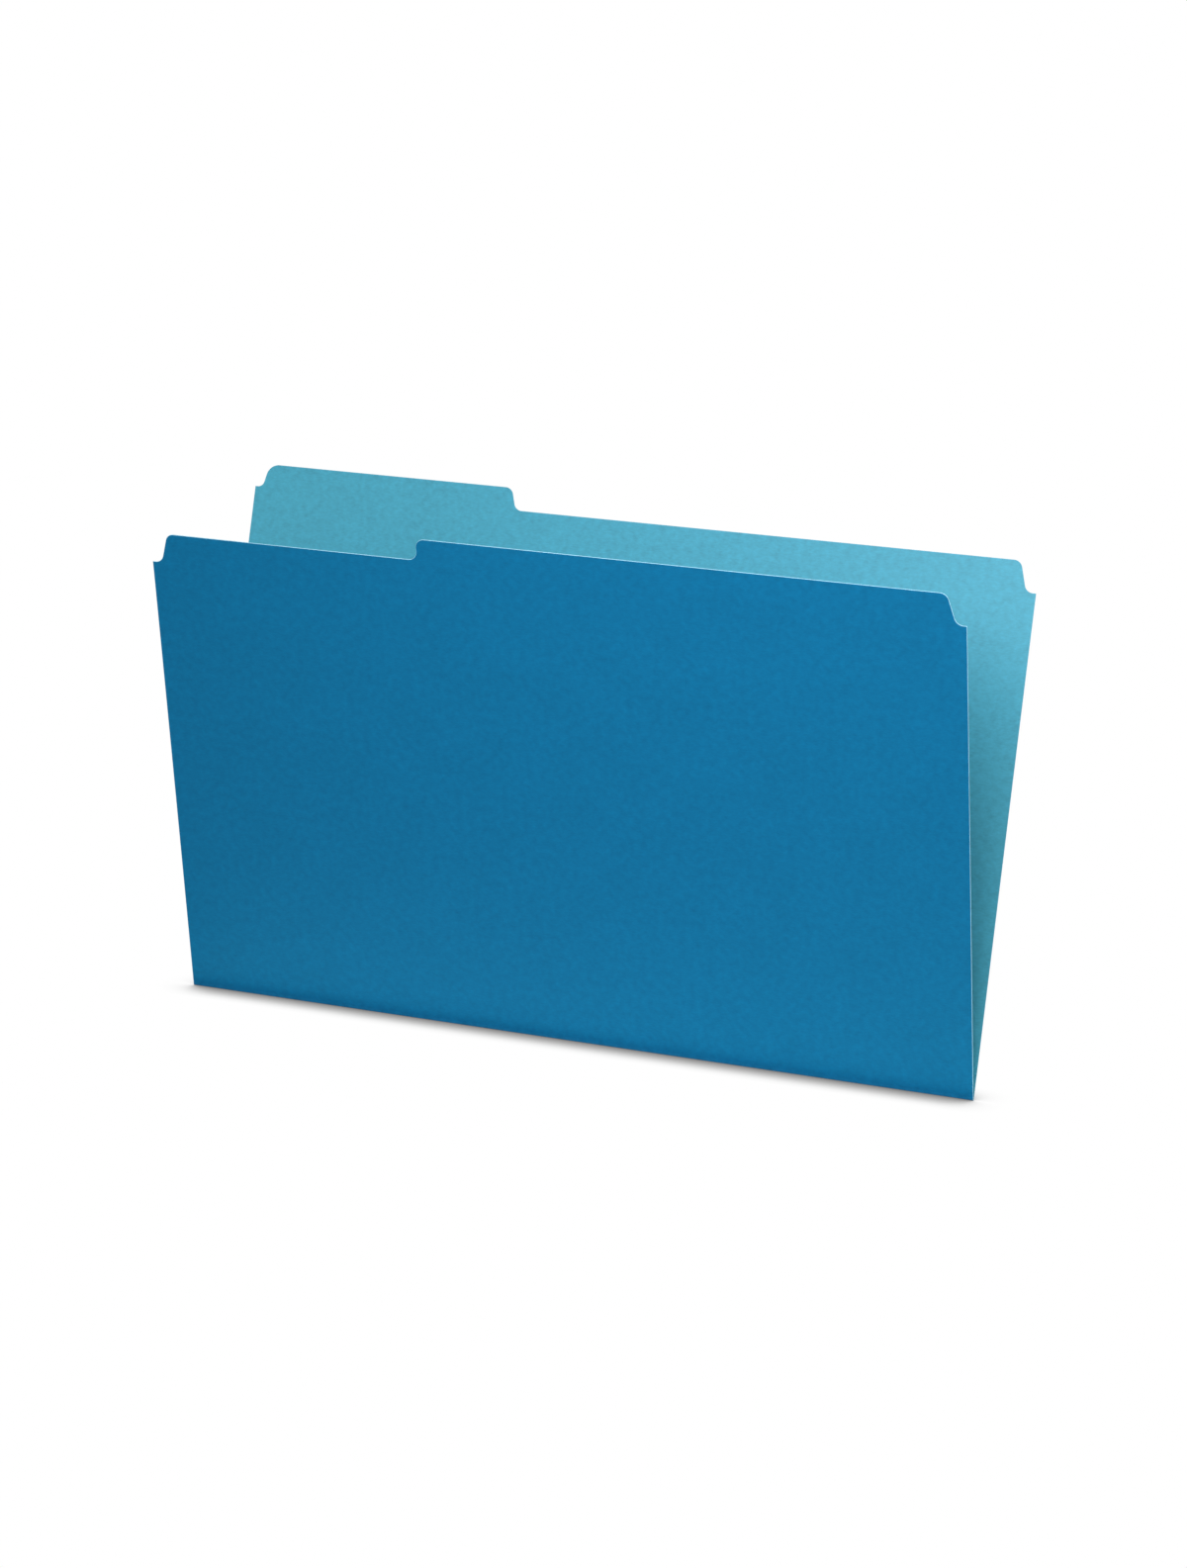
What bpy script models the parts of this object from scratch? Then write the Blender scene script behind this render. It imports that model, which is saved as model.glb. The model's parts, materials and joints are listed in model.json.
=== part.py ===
"""Two-tone card file folder, standing open on its fold. Metres, +Z up.

X runs along the fold, the front flap is on the -Y side, and the fold rests on Z = 0.
"""

import math

import bmesh
import bpy
from mathutils import Matrix, Vector

# Sheet: heights are taken with the folder closed, from the outside of the fold
WIDTH = 0.37465
TAB_HEIGHT = 0.2413
MAIN_HEIGHT = 0.2313
UNDERCUT_HEIGHT = 0.2216
CARD = 0.00028

# Index tab, from the left edge to the middle of its slanted step
TAB_WIDTH = 0.1288
STEP_RUN = 0.0030
STEP_RADIUS = 0.0040

# Corner notches: an S curve from the top edge down to a square shoulder
NOTCH_DEPTH = 0.0135
NOTCH_TOP_INSET = 0.0084
NOTCH_FOOT_INSET = 0.0045
NOTCH_RADIUS = 0.0040
TAB_NOTCH_DEPTH = 0.0105
TAB_NOTCH_TOP_INSET = 0.0060
TAB_NOTCH_FOOT_INSET = 0.0037
TAB_NOTCH_TOP_RADIUS = 0.0060
TAB_NOTCH_FOOT_RADIUS = 0.0030

# Fold: a scored strip that both flaps turn about
OPENING_ANGLE = math.radians(25.6)
CREASE_INNER_RADIUS = 0.00025
CREASE_LEG = 0.0005
TURNING_CLEARANCE = 0.00012

# Facets in each quarter turn of a curve
ARC_FACETS = 10

LEAN = OPENING_ANGLE / 2
HALF_WIDTH = WIDTH / 2
STEP_MIDDLE = TAB_WIDTH - HALF_WIDTH
CREASE_OUTER_RADIUS = CREASE_INNER_RADIUS + CARD
AXIS_HEIGHT = CREASE_OUTER_RADIUS

# Sides of the fold along Y, and of the sheet along X
FRONT = -1
BACK = 1
LEFT = -1
RIGHT = 1


def clear_scene():
    for obj in list(bpy.data.objects):
        bpy.data.objects.remove(obj, do_unlink=True)


def card_material(name, colour, roughness):
    material = bpy.data.materials.new(name)
    material.use_nodes = True
    shader = material.node_tree.nodes["Principled BSDF"]
    shader.inputs["Base Color"].default_value = (*colour, 1.0)
    shader.inputs["Roughness"].default_value = roughness
    shader.inputs["Metallic"].default_value = 0.0
    return material


def outer_coat(name):
    """Material of the darker blue coat on the outside of the sheet."""
    return card_material(name + "_outer_coat", (0.009, 0.160, 0.330), 0.60)


def bare_card(name):
    """Material of the light blue card, seen inside and along every cut edge."""
    return card_material(name + "_bare_card", (0.125, 0.460, 0.680), 0.75)


def above_axis(height):
    """A height from the outside of the closed fold, as a distance from the fold axis."""
    return height - CREASE_OUTER_RADIUS


def flap_start():
    """Distance from the fold axis at which a flap clears the crease through its whole swing."""
    crease_reach = math.hypot(CREASE_OUTER_RADIUS, CREASE_LEG)
    return math.sqrt((crease_reach + TURNING_CLEARANCE) ** 2 - CREASE_INNER_RADIUS**2)


def fillet(before, corner, after, radius):
    """Points of the arc that rounds a corner of an outline."""
    to_before = (before - corner).normalized()
    to_after = (after - corner).normalized()
    half_angle = to_before.angle(to_after) / 2
    centre = corner + (to_before + to_after).normalized() * (radius / math.sin(half_angle))
    tangent_length = radius / math.tan(half_angle)
    first = corner + to_before * tangent_length - centre
    last = corner + to_after * tangent_length - centre
    turn = math.atan2(first.cross(last), first.dot(last))
    count = math.ceil(ARC_FACETS * abs(turn) / (math.pi / 2))
    return [centre + Matrix.Rotation(turn * i / count, 2) @ first for i in range(count + 1)]


def rounded_outline(corners):
    """Closed outline through corners given as (x, z, radius), where radius 0 stays sharp."""
    points = [Vector((x, z)) for x, z, radius in corners]
    outline = []
    for i, (x, z, radius) in enumerate(corners):
        if radius == 0:
            outline.append(points[i])
        else:
            after = points[(i + 1) % len(points)]
            outline += fillet(points[i - 1], points[i], after, radius)
    return outline


def notch(side, top, depth, top_inset, foot_inset, top_radius, foot_radius):
    """Corners of a notch, from the shoulder at the sheet's edge up to the top edge."""
    shoulder = top - depth
    return [
        (side * HALF_WIDTH, shoulder, 0),
        (side * (HALF_WIDTH - foot_inset), shoulder, foot_radius),
        (side * (HALF_WIDTH - top_inset), top, top_radius),
    ]


def plain_notch(side, top):
    return notch(
        side,
        top,
        NOTCH_DEPTH,
        NOTCH_TOP_INSET,
        NOTCH_FOOT_INSET,
        NOTCH_RADIUS,
        NOTCH_RADIUS,
    )


def tab_notch(top):
    """The tab's outer corner, which steps down to a shoulder near the main edge's height."""
    return notch(
        LEFT,
        top,
        TAB_NOTCH_DEPTH,
        TAB_NOTCH_TOP_INSET,
        TAB_NOTCH_FOOT_INSET,
        TAB_NOTCH_TOP_RADIUS,
        TAB_NOTCH_FOOT_RADIUS,
    )


def slanted_step(right_top, left_top):
    """Corners of the step between the main edge and the left third, wider at its foot."""
    half_run = math.copysign(STEP_RUN / 2, left_top - right_top)
    return [
        (STEP_MIDDLE + half_run, right_top, STEP_RADIUS),
        (STEP_MIDDLE - half_run, left_top, STEP_RADIUS),
    ]


def flap_outline(left_top, left_notch):
    """Outline of a flap in its own plane, from the fold up to its top edge."""
    main_top = above_axis(MAIN_HEIGHT)
    corners = [(-HALF_WIDTH, flap_start(), 0), (HALF_WIDTH, flap_start(), 0)]
    corners += plain_notch(RIGHT, main_top)
    corners += slanted_step(main_top, left_top)
    corners += reversed(left_notch)
    return rounded_outline(corners)


def front_outline():
    """The front flap's left third is cut lower, so that the tab behind shows above it."""
    top = above_axis(UNDERCUT_HEIGHT)
    return flap_outline(top, plain_notch(LEFT, top))


def back_outline():
    top = above_axis(TAB_HEIGHT)
    return flap_outline(top, tab_notch(top))


def crease_section():
    """The crease's outer and inner sides in the YZ plane, each from the front leg to the back."""
    bend = math.pi - OPENING_ANGLE
    count = math.ceil(ARC_FACETS * bend / (math.pi / 2))
    front_leg = Vector((-math.sin(LEAN), math.cos(LEAN))) * CREASE_LEG
    back_leg = Vector((math.sin(LEAN), math.cos(LEAN))) * CREASE_LEG
    sides = []
    for radius in (CREASE_OUTER_RADIUS, CREASE_INNER_RADIUS):
        angles = [math.pi + LEAN + bend * i / count for i in range(count + 1)]
        arc = [Vector((radius * math.cos(a), radius * math.sin(a))) for a in angles]
        sides.append([arc[0] + front_leg, *arc, arc[-1] + back_leg])
    return sides


def pull_out(shape, face, offset):
    """Extrudes a face into a solid and returns the moved vertices."""
    extruded = bmesh.ops.extrude_face_region(shape, geom=[face])
    moved = [item for item in extruded["geom"] if isinstance(item, bmesh.types.BMVert)]
    bmesh.ops.translate(shape, verts=moved, vec=offset)
    bmesh.ops.recalc_face_normals(shape, faces=shape.faces)
    return moved


def add_object(name, shape, folder):
    """Makes an object with its origin on the fold axis, coated outside and bare inside."""
    mesh = bpy.data.meshes.new(name)
    shape.to_mesh(mesh)
    shape.free()
    mesh.materials.append(bare_card(name))
    mesh.materials.append(outer_coat(name))
    obj = bpy.data.objects.new(name, mesh)
    bpy.context.scene.collection.objects.link(obj)
    obj.parent = folder
    obj.location = (0, 0, AXIS_HEIGHT)
    return obj


def add_flap(name, side, outline, folder):
    """A flap of card, drawn upright and then leaned out about the fold axis."""
    shape = bmesh.new()
    inner_y = side * CREASE_INNER_RADIUS
    face = shape.faces.new([shape.verts.new((p.x, inner_y, p.y)) for p in outline])
    moved = set(pull_out(shape, face, (0, side * CARD, 0)))
    for face in shape.faces:
        face.material_index = int(moved.issuperset(face.verts))
    flap = add_object(name, shape, folder)
    flap.rotation_euler = (-side * LEAN, 0, 0)
    return flap


def add_crease(folder):
    """The scored strip at the fold: a bend of card with a short leg up each flap."""
    shape = bmesh.new()
    outer, inner = crease_section()
    outer_verts = [shape.verts.new((-HALF_WIDTH, p.x, p.y)) for p in outer]
    inner_verts = [shape.verts.new((-HALF_WIDTH, p.x, p.y)) for p in reversed(inner)]
    end_face = shape.faces.new(outer_verts + inner_verts)
    pull_out(shape, end_face, (WIDTH, 0, 0))
    for face in shape.faces:
        is_side = len(face.verts) == 4
        face.material_index = int(is_side and len(set(outer_verts) & set(face.verts)) == 2)
        face.smooth = is_side
    crease = add_object("fold_crease", shape, folder)
    crease.data.set_sharp_from_angle(angle=math.radians(30))
    return crease


def build_folder():
    clear_scene()
    folder = bpy.data.objects.new("folder", None)
    bpy.context.scene.collection.objects.link(folder)
    add_crease(folder)
    add_flap("front_flap", FRONT, front_outline(), folder)
    add_flap("back_flap", BACK, back_outline(), folder)


build_folder()
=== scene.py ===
import json
import math

import bmesh
import bpy
from mathutils import Matrix, Vector
from mathutils.geometry import intersect_point_line


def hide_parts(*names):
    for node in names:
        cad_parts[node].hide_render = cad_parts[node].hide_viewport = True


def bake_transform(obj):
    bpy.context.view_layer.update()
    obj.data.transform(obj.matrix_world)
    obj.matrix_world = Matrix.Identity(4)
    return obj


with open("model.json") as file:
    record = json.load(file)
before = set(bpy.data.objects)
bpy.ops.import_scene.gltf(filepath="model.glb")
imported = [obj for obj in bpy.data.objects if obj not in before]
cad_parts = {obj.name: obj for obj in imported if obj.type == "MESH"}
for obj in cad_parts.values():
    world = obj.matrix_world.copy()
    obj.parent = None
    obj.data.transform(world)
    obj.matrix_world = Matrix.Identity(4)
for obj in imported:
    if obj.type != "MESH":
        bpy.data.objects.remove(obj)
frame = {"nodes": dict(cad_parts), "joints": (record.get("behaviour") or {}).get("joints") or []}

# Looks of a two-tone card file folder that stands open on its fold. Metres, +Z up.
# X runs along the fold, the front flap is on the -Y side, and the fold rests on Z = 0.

# Sides of the fold along Y
FRONT = -1
BACK = 1

# Places taken from the frame
FOLD_JOINT = next(joint for joint in frame["joints"] if joint["child"] == "front")
AXIS_HEIGHT = FOLD_JOINT["pos_m"][2]
LEAN = math.radians(-FOLD_JOINT["range_deg"][0])
HALF_BEND = math.pi / 2 - LEAN

# Card: bevels and worn band of its cut edges, bow of a flap, and the angle past which its shading
# turns sharp
OUTER_BEVEL = 0.00013
INNER_BEVEL = 0.00004
EDGE_BAND = 0.0009
INWARD_BOW = 0.00024
SMOOTH_ANGLE = math.radians(30)

# Reading an outline: distances that count as none
SAME_POINT = 1e-6
SAME_DEPTH = 1e-5

# Cosine of a turn past which an outline goes back over itself
TURNS_BACK = -0.5

# Rows of vertices up a sheet
BEND_ROWS = 12
FOLD_ROWS = (0.0003, 0.0006, 0.0009, 0.0012, 0.0016, 0.0020, 0.0026)
ROW_STEP = 0.012

# Material slots of a sheet's mesh
COAT, EDGE, CARD = range(3)

# Slots of the rings of faces round a sheet, from its outer side to its inner one
RING_SLOTS = (COAT, EDGE, EDGE, EDGE, CARD)

# Looks of each surface, with linear colours and shares from 0 to 1
OUTER_COAT = {
    "colour": (0.0022, 0.142, 0.314),
    "worn": (0.070, 0.300, 0.500),
    "variation": 0.18,
    "roughness": 0.60,
    "gloss": 0.08,
    "edge_wear": 0.25,
    "fold_wear": 0.10,
}
BARE_CARD = {
    "colour": (0.053, 0.350, 0.494),
    "worn": (0.200, 0.520, 0.680),
    "variation": 0.20,
    "roughness": 0.50,
    "gloss": 0.55,
    "edge_wear": 0.25,
    "fold_wear": 0.05,
}
CUT_EDGE = {
    "colour": (0.380, 0.720, 0.920),
    "worn": (0.380, 0.720, 0.920),
    "variation": 0.06,
    "roughness": 0.80,
    "gloss": 0.20,
    "edge_wear": 0.0,
    "fold_wear": 0.0,
}

# Patterns in the card, with their scales per metre
CLOUDS = {"Scale": 45, "Detail": 3}
MOTTLE = {"Scale": 310, "Detail": 2}
FIBRES = {"Scale": 1500, "Detail": 2}
CROSS_FIBRES = {"Scale": 1400, "Detail": 2}
GRAIN = {"Scale": 5200, "Detail": 1}
FIBRE_STRETCH = 0.30
FIBRE_TURN = 0.35
CROSS_FIBRE_TURN = -1.1

# Weights of the patterns in the card's tone, and the tones at which its colour stops changing
CLOUD_WEIGHT = 0.14
MOTTLE_WEIGHT = 0.38
FIBRE_WEIGHT = 0.48
TONE_RANGE = (0.32, 0.72)

# Wear: how fast it fades from a cut edge, its reach from the fold, and its patches
EDGE_FADE = 3.0
FOLD_WEAR_REACH = (0.0004, 0.0022)
PATCH_RANGE = (0.3, 0.6)
PATCH_SHARES = (0.3, 1)

# Roughness from fibre to fibre, and relief
FIBRE_RANGE = (0.3, 0.8)
ROUGHNESS_SPREAD = 0.05
FIBRE_RELIEF = 0.6
GRAIN_RELIEF = 0.4
RELIEF_STRENGTH = 0.35
RELIEF_HEIGHT = 0.00006

# Camera: long side of the picture on the sensor's width
CAMERA_PLACE = (0.68223, -1.65783, 0.49785)
CAMERA_YAW = 0.3868923
CAMERA_PITCH = 0.2096385
CAMERA_ROLL = 0.0388281
CAMERA_LENS = 96.265
CAMERA_SENSOR = 36.0

# Lamps: azimuth 0 is in front of the folder and 90 on its right, in degrees
AIM = Vector((0, 0, 0.110))
KEY = {
    "azimuth": 21,
    "elevation": 42,
    "distance": 0.72,
    "size": 0.62,
    "power": 5.4,
    "colour": (1.00, 1.00, 1.00),
    "glossy": True,
}
TOP = {
    "azimuth": 0,
    "elevation": 88,
    "distance": 1.10,
    "size": 0.70,
    "power": 1.5,
    "colour": (1.00, 1.00, 0.88),
    "glossy": True,
}
REAR = {
    "azimuth": 190,
    "elevation": 10,
    "distance": 1.20,
    "size": 0.80,
    "power": 11.0,
    "colour": (1.00, 0.99, 0.96),
    "glossy": False,
}

# Low reflector in front of the fold
REFLECTOR_PLACE = (0.08, -0.040, 0.002)
REFLECTOR_SIZE = (0.54, 0.07)
REFLECTOR_POWER = 0.070
REFLECTOR_COLOUR = (1.00, 1.00, 0.75)

# Even light from all round
SKY_LIGHT = 0.17
SKY_COLOUR = (1.00, 1.00, 0.80)

# Floor
FLOOR_HALF = 6.0
FLOOR_DROP = 0.00005
FLOOR_GREY = 0.90

# Shadow on the floor: how open a point is, and the tone that it shows
CONTACT_REACH = 0.019
CONTACT_SAMPLES = 16
CONTACT_TONES = (
    (0.30, 0.12),
    (0.51, 0.38),
    (0.61, 0.52),
    (0.71, 0.68),
    (0.80, 0.83),
    (0.89, 0.945),
    (1.0, 1.0),
)


def unleaned(side):
    """Turns a leaning flap upright about the fold axis, with the axis at the origin."""
    return Matrix.Rotation(side * LEAN, 4, "X") @ Matrix.Translation((0, 0, -AXIS_HEIGHT))


def flap_profile(node, side):
    """The outline of a flap's outer face as a chain, and its depths from the fold axis."""
    shape = bmesh.new()
    shape.from_mesh(node.data)
    shape.transform(unleaned(side))
    bmesh.ops.remove_doubles(shape, verts=shape.verts, dist=SAME_POINT)
    depths = [side * vert.co.y for vert in shape.verts]
    outer, inner = max(depths), min(depths)
    outside = {vert for vert in shape.verts if side * vert.co.y > outer - SAME_DEPTH}
    faces = [face for face in shape.faces if outside.issuperset(face.verts)]
    merged = bmesh.ops.dissolve_faces(shape, faces=faces)["region"]
    points = [Vector((vert.co.x, vert.co.z)) for vert in merged[0].verts]
    shape.free()
    return without_double_backs(chain_from_right_foot(points)), outer, inner


def chain_from_right_foot(points):
    """The outline as an open chain, from the right lower corner round the top to the left one."""
    area = sum(a.cross(b) for a, b in zip(points, points[1:] + points[:1]))
    if area < 0:
        points = points[::-1]
    start = min(range(len(points)), key=lambda i: points[i].y - points[i].x)
    return points[start:] + points[:start]


def without_double_backs(chain):
    """The chain without the points at which it turns back over itself."""
    kept = [chain[0]]
    for before, point, after in zip(chain, chain[1:], chain[2:]):
        arriving = (point - before).normalized()
        leaving = (after - point).normalized()
        if arriving.dot(leaving) > TURNS_BACK:
            kept.append(point)
    return kept + [chain[-1]]


def inset(chain, distance):
    """The chain moved into the sheet by a distance."""
    normals = []
    for first, last in zip(chain, chain[1:]):
        along = (last - first).normalized()
        normals.append(Vector((-along.y, along.x)))
    before = [normals[0]] + normals
    after = normals + [normals[-1]]
    moved = []
    for point, a, b in zip(chain, before, after):
        moved.append(point + (a + b) * (distance / (1 + a.dot(b))))
    return moved


def flat_sheet(chain, outer, inner):
    """Half of the card, flat and closed, with bevelled cut edges, as (x, height, depth)."""
    band = inset(chain, EDGE_BAND)
    rings = [
        (band, outer),
        (inset(chain, OUTER_BEVEL), outer),
        (chain, outer - OUTER_BEVEL),
        (chain, inner + INNER_BEVEL),
        (inset(chain, INNER_BEVEL), inner),
        (band, inner),
    ]
    shape = bmesh.new()
    rows = [[shape.verts.new((p.x, p.y, depth)) for p in ring] for ring, depth in rings]
    shape.faces.new(rows[0]).material_index = COAT
    shape.faces.new(rows[-1]).material_index = CARD
    for (first, second), slot in zip(zip(rows, rows[1:]), RING_SLOTS):
        for i in range(len(chain) - 1):
            face = shape.faces.new((first[i], first[i + 1], second[i + 1], second[i]))
            face.material_index = slot
    fold_end = [row[0] for row in rows] + [row[-1] for row in reversed(rows)]
    shape.faces.new(fold_end).material_index = CARD
    bmesh.ops.recalc_face_normals(shape, faces=shape.faces)
    return shape


def cut_rows(shape, foot, top):
    """Cuts the flat sheet in rows, close together where it bends."""
    heights = [foot - foot * i / BEND_ROWS for i in range(1, BEND_ROWS + 1)]
    heights += FOLD_ROWS
    heights += [ROW_STEP * i for i in range(1, math.ceil(top / ROW_STEP))]
    for height in heights:
        parts = [*shape.verts, *shape.edges, *shape.faces]
        bmesh.ops.bisect_plane(shape, geom=parts, plane_co=(0, height, 0), plane_no=(0, 1, 0))


def nearest_edge(point, chain):
    """Distance from a flat point to the cut outline."""
    best = EDGE_BAND
    for first, last in zip(chain, chain[1:]):
        _, share = intersect_point_line(point, first, last)
        clamped = first.lerp(last, min(max(share, 0), 1))
        best = min(best, (point - clamped.to_2d()).length)
    return best


def folded(x, height, depth, side, outer, top):
    """A flat point's place on the folded and leaning sheet."""
    if height < 0:
        turn = -height / outer
        place = Vector((x, side * depth * math.cos(turn), -depth * math.sin(turn)))
    else:
        share = height / top
        bow = INWARD_BOW * 4 * share * (1 - share)
        place = Vector((x, side * (depth - bow), height))
    return unleaned(side).inverted() @ place


def lay_pattern(shape, foot, side, outer):
    """Texture coordinates in metres over the flat sheet, counted up from the middle of the fold."""
    pattern = shape.loops.layers.uv.new("sheet")
    for face in shape.faces:
        for loop in face.loops:
            x, height, depth = loop.vert.co
            beneath = outer - depth
            loop[pattern].uv = (x + beneath, side * (height - foot + beneath))


def mark_cut_edges(shape, chain):
    """A value on each vertex, from 1 on the cut outline down to 0 past the edge band."""
    edge = shape.verts.layers.float.new("cut_edge")
    for vert in shape.verts:
        vert[edge] = 1 - nearest_edge(vert.co.to_2d(), chain) / EDGE_BAND


def add_object(name, data):
    made = bpy.data.objects.new(name, data)
    bpy.context.scene.collection.objects.link(made)
    return made


def make_sheet(name, flap, side, materials):
    """One half of the card, from the middle of the fold to its top edge."""
    chain, outer, inner = flap_profile(frame["nodes"][flap], side)
    foot = -HALF_BEND * outer
    chain[0].y = foot
    chain[-1].y = foot
    top = max(point.y for point in chain)
    shape = flat_sheet(chain, outer, inner)
    cut_rows(shape, foot, top)
    lay_pattern(shape, foot, side, outer)
    mark_cut_edges(shape, chain)
    for vert in shape.verts:
        vert.co = folded(*vert.co, side, outer, top)
    bmesh.ops.recalc_face_normals(shape, faces=shape.faces)
    mesh = bpy.data.meshes.new(name)
    shape.to_mesh(mesh)
    shape.free()
    for material in materials:
        mesh.materials.append(material)
    mesh.shade_smooth()
    mesh.set_sharp_from_angle(angle=SMOOTH_ANGLE)
    return add_object(name, mesh)


def feed(tree, socket, value):
    """Puts a value, or another node's output, on a socket."""
    if isinstance(value, bpy.types.NodeSocket):
        tree.links.new(value, socket)
    else:
        socket.default_value = value


def node(tree, kind, inputs=(), **settings):
    """A shader node, with values or other nodes' outputs on its named sockets."""
    made = tree.nodes.new(kind)
    for key, value in settings.items():
        setattr(made, key, value)
    for key, value in dict(inputs).items():
        feed(tree, made.inputs[key], value)
    return made


def math_node(tree, operation, *values):
    made = node(tree, "ShaderNodeMath", operation=operation)
    for socket, value in zip(made.inputs, values):
        feed(tree, socket, value)
    return made.outputs[0]


def noise(tree, place, pattern):
    return node(tree, "ShaderNodeTexNoise", {"Vector": place, **pattern}).outputs["Fac"]


def stretched(tree, place, turn):
    """Texture coordinates turned and drawn out, for fibres that mostly lie one way."""
    inputs = {"Vector": place, "Rotation": (0, 0, turn), "Scale": (FIBRE_STRETCH, 1, 1)}
    return node(tree, "ShaderNodeMapping", inputs).outputs["Vector"]


def opaque(colour, factor=1.0):
    """A colour made lighter or darker by a factor, with its fourth value for a socket."""
    return (*(channel * factor for channel in colour), 1.0)


def mixed(tree, share, low, high):
    """A colour between two, by a share from 0 to 1."""
    made = node(tree, "ShaderNodeMix", {"Factor": share}, data_type="RGBA")
    feed(tree, made.inputs["A"], low)
    feed(tree, made.inputs["B"], high)
    return made.outputs["Result"]


def ranged(tree, value, source, target):
    """A value moved from one range into another."""
    inputs = {
        "Value": value,
        "From Min": source[0],
        "From Max": source[1],
        "To Min": target[0],
        "To Max": target[1],
    }
    return node(tree, "ShaderNodeMapRange", inputs).outputs["Result"]


def fibre_pattern(tree, place):
    """Short fibres that lie two ways."""
    fibres = noise(tree, stretched(tree, place, FIBRE_TURN), FIBRES)
    cross_fibres = noise(tree, stretched(tree, place, CROSS_FIBRE_TURN), CROSS_FIBRES)
    return math_node(tree, "MAXIMUM", fibres, cross_fibres)


def card_tone(tree, place, mottle, fibre):
    """Light and dark of the card, from its clouds, mottling and fibres."""
    clouds = noise(tree, place, CLOUDS)
    tone = math_node(tree, "MULTIPLY", mottle, MOTTLE_WEIGHT)
    tone = math_node(tree, "MULTIPLY_ADD", clouds, CLOUD_WEIGHT, tone)
    tone = math_node(tree, "MULTIPLY_ADD", fibre, FIBRE_WEIGHT, tone)
    return ranged(tree, tone, TONE_RANGE, (0, 1))


def wear(tree, place, mottle, looks):
    """Share of worn colour, in patches along the cut edges and the fold."""
    nearness = node(tree, "ShaderNodeAttribute", attribute_name="cut_edge").outputs["Fac"]
    faded = math_node(tree, "POWER", nearness, EDGE_FADE)
    edge = math_node(tree, "MULTIPLY", faded, looks["edge_wear"])
    across = node(tree, "ShaderNodeSeparateXYZ", {"Vector": place}).outputs["Y"]
    from_fold = math_node(tree, "ABSOLUTE", across)
    fold = ranged(tree, from_fold, FOLD_WEAR_REACH, (looks["fold_wear"], 0))
    patches = ranged(tree, mottle, PATCH_RANGE, PATCH_SHARES)
    return math_node(tree, "MULTIPLY", math_node(tree, "MAXIMUM", edge, fold), patches)


def relief(tree, place, fibre):
    """Surface direction over raised fibres and fine grain."""
    grain = math_node(tree, "MULTIPLY", noise(tree, place, GRAIN), GRAIN_RELIEF)
    height = math_node(tree, "MULTIPLY_ADD", fibre, FIBRE_RELIEF, grain)
    inputs = {"Height": height, "Strength": RELIEF_STRENGTH, "Distance": RELIEF_HEIGHT}
    return node(tree, "ShaderNodeBump", inputs).outputs["Normal"]


def paper(name, looks):
    """Card with mottling, fibres, fine grain, and wear at cut edges and the fold."""
    material = bpy.data.materials.new(name)
    material.use_nodes = True
    tree = material.node_tree
    shader = tree.nodes["Principled BSDF"]
    place = node(tree, "ShaderNodeUVMap", uv_map="sheet").outputs["UV"]
    mottle = noise(tree, place, MOTTLE)
    fibre = fibre_pattern(tree, place)
    dark = opaque(looks["colour"], 1 - looks["variation"])
    light = opaque(looks["colour"], 1 + looks["variation"])
    body = mixed(tree, card_tone(tree, place, mottle, fibre), dark, light)
    worn = mixed(tree, wear(tree, place, mottle, looks), body, opaque(looks["worn"]))
    smoothest = looks["roughness"] - ROUGHNESS_SPREAD
    roughest = looks["roughness"] + ROUGHNESS_SPREAD
    feed(tree, shader.inputs["Base Color"], worn)
    feed(tree, shader.inputs["Roughness"], ranged(tree, fibre, FIBRE_RANGE, (smoothest, roughest)))
    feed(tree, shader.inputs["Specular IOR Level"], looks["gloss"])
    feed(tree, shader.inputs["Normal"], relief(tree, place, fibre))
    return material


def background_rays(tree):
    """1 for the rays that show the background itself, and 0 for those that light the folder."""
    path = node(tree, "ShaderNodeLightPath").outputs
    seen = math_node(tree, "MAXIMUM", path["Is Camera Ray"], path["Is Glossy Ray"])
    return math_node(tree, "MAXIMUM", seen, path["Is Transmission Ray"])


def contact_floor():
    """White paper sweep that darkens only where the folder stands close over it."""
    material = bpy.data.materials.new("floor")
    material.use_nodes = True
    tree = material.node_tree
    tree.nodes.clear()
    inputs = {"Distance": CONTACT_REACH}
    openness = node(tree, "ShaderNodeAmbientOcclusion", inputs, samples=CONTACT_SAMPLES)
    shade = node(tree, "ShaderNodeValToRGB", {"Fac": openness.outputs["AO"]})
    ramp = shade.color_ramp
    for _ in range(len(CONTACT_TONES) - len(ramp.elements)):
        ramp.elements.new(1.0)
    for stop, (position, tone) in zip(ramp.elements, CONTACT_TONES):
        stop.position = position
        stop.color = opaque((tone, tone, tone))
    seen = node(tree, "ShaderNodeEmission", {"Color": shade.outputs["Color"], "Strength": 1.0})
    grey = opaque((FLOOR_GREY, FLOOR_GREY, FLOOR_GREY))
    lit = node(tree, "ShaderNodeBsdfDiffuse", {"Color": grey})
    mix = node(tree, "ShaderNodeMixShader", {"Fac": background_rays(tree)})
    tree.links.new(lit.outputs["BSDF"], mix.inputs[1])
    tree.links.new(seen.outputs["Emission"], mix.inputs[2])
    output = node(tree, "ShaderNodeOutputMaterial")
    tree.links.new(mix.outputs["Shader"], output.inputs["Surface"])
    return material


def make_floor():
    mesh = bpy.data.meshes.new("floor")
    corners = [(-1, -1), (1, -1), (1, 1), (-1, 1)]
    points = [(x * FLOOR_HALF, y * FLOOR_HALF, -FLOOR_DROP) for x, y in corners]
    mesh.from_pydata(points, [], [(0, 1, 2, 3)])
    mesh.materials.append(contact_floor())
    floor = add_object("floor", mesh)


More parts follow.
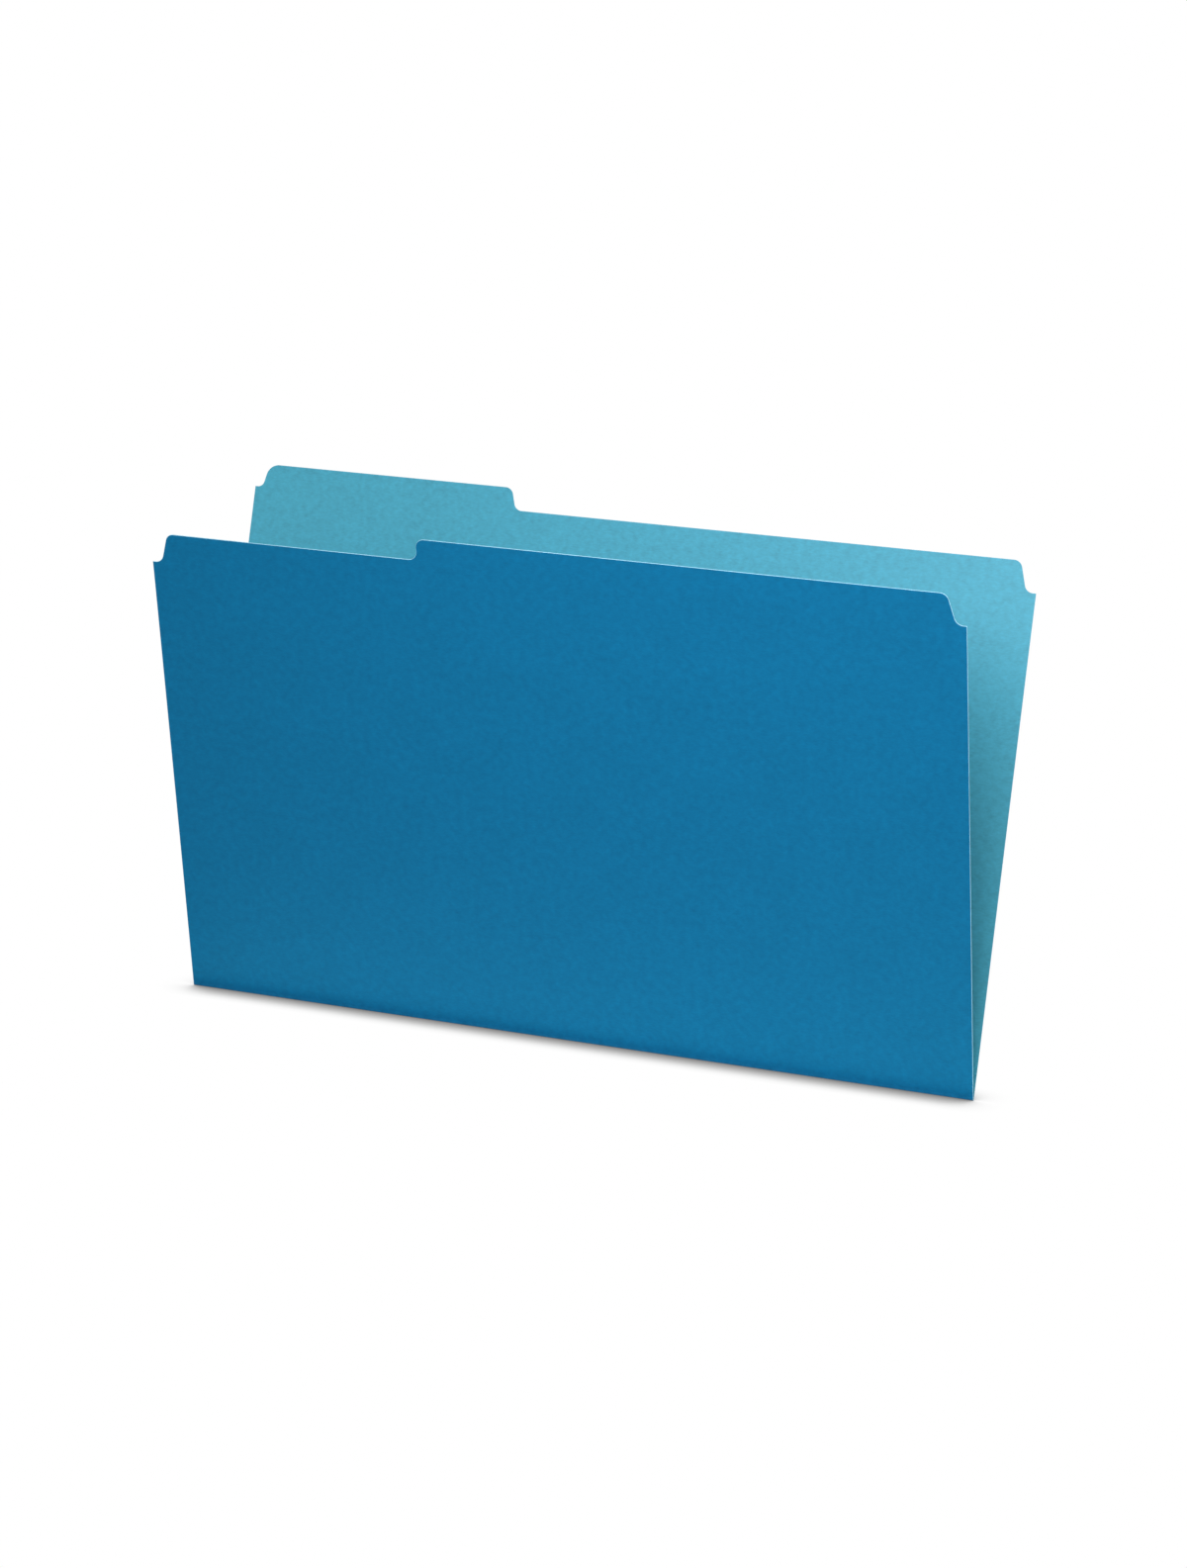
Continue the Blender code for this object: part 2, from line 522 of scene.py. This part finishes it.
def make_sky():
    """White backdrop to the eye, and an even soft light on the folder."""
    world = bpy.data.worlds.new("studio")
    bpy.context.scene.world = world
    world.use_nodes = True
    tree = world.node_tree
    tree.nodes.clear()
    inputs = {"Color": opaque(SKY_COLOUR), "Strength": SKY_LIGHT}
    light = node(tree, "ShaderNodeBackground", inputs)
    inputs = {"Color": opaque((1, 1, 1)), "Strength": 1.0}
    white = node(tree, "ShaderNodeBackground", inputs)
    mix = node(tree, "ShaderNodeMixShader", {"Fac": background_rays(tree)})
    tree.links.new(light.outputs["Background"], mix.inputs[1])
    tree.links.new(white.outputs["Background"], mix.inputs[2])
    output = node(tree, "ShaderNodeOutputWorld")
    tree.links.new(mix.outputs["Shader"], output.inputs["Surface"])


def make_lamp(name, plan):
    """A round soft lamp that faces the folder."""
    azimuth = math.radians(plan["azimuth"])
    elevation = math.radians(plan["elevation"])
    level = math.cos(elevation)
    toward = Vector((math.sin(azimuth) * level, -math.cos(azimuth) * level, math.sin(elevation)))
    light = bpy.data.lights.new(name, "AREA")
    light.shape = "DISK"
    light.size = plan["size"]
    light.energy = plan["power"]
    light.color = plan["colour"]
    lamp = add_object(name, light)
    lamp.location = AIM + toward * plan["distance"]
    lamp.rotation_euler = toward.to_track_quat("Z", "Y").to_euler()
    lamp.visible_glossy = plan["glossy"]


def make_reflector():
    """A lit white card on the floor in front of the folder, facing up and out of sight."""
    light = bpy.data.lights.new("reflector", "AREA")
    light.shape = "RECTANGLE"
    light.size, light.size_y = REFLECTOR_SIZE
    light.energy = REFLECTOR_POWER
    light.color = REFLECTOR_COLOUR
    lamp = add_object("reflector", light)
    lamp.location = REFLECTOR_PLACE
    lamp.rotation_euler = (math.pi, 0, 0)
    lamp.visible_glossy = False


def make_camera():
    data = bpy.data.cameras.new("camera")
    data.sensor_width = CAMERA_SENSOR
    data.lens = CAMERA_LENS
    camera = add_object("camera", data)
    camera.location = CAMERA_PLACE
    turn = Matrix.Rotation(CAMERA_YAW, 4, "Z")
    turn @= Matrix.Rotation(math.pi / 2 - CAMERA_PITCH, 4, "X")
    turn @= Matrix.Rotation(CAMERA_ROLL, 4, "Z")
    camera.rotation_euler = turn.to_euler()
    bpy.context.scene.camera = camera


def make_folder():
    coat = paper("outer_coat", OUTER_COAT)
    card = paper("bare_card", BARE_CARD)
    edge = paper("cut_edge", CUT_EDGE)
    materials = (coat, edge, card)
    front = make_sheet("front_sheet", "front_flap", FRONT, materials)
    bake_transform(front)
    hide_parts("front_flap", "fold_crease")
    back = make_sheet("back_sheet", "back_flap", BACK, materials)
    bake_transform(back)
    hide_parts("back_flap")


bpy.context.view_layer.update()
bpy.context.scene.view_settings.view_transform = "Standard"
make_folder()
make_floor()
make_sky()
make_lamp("key_lamp", KEY)
make_reflector()
make_lamp("top_lamp", TOP)
make_lamp("rear_lamp", REAR)
make_camera()
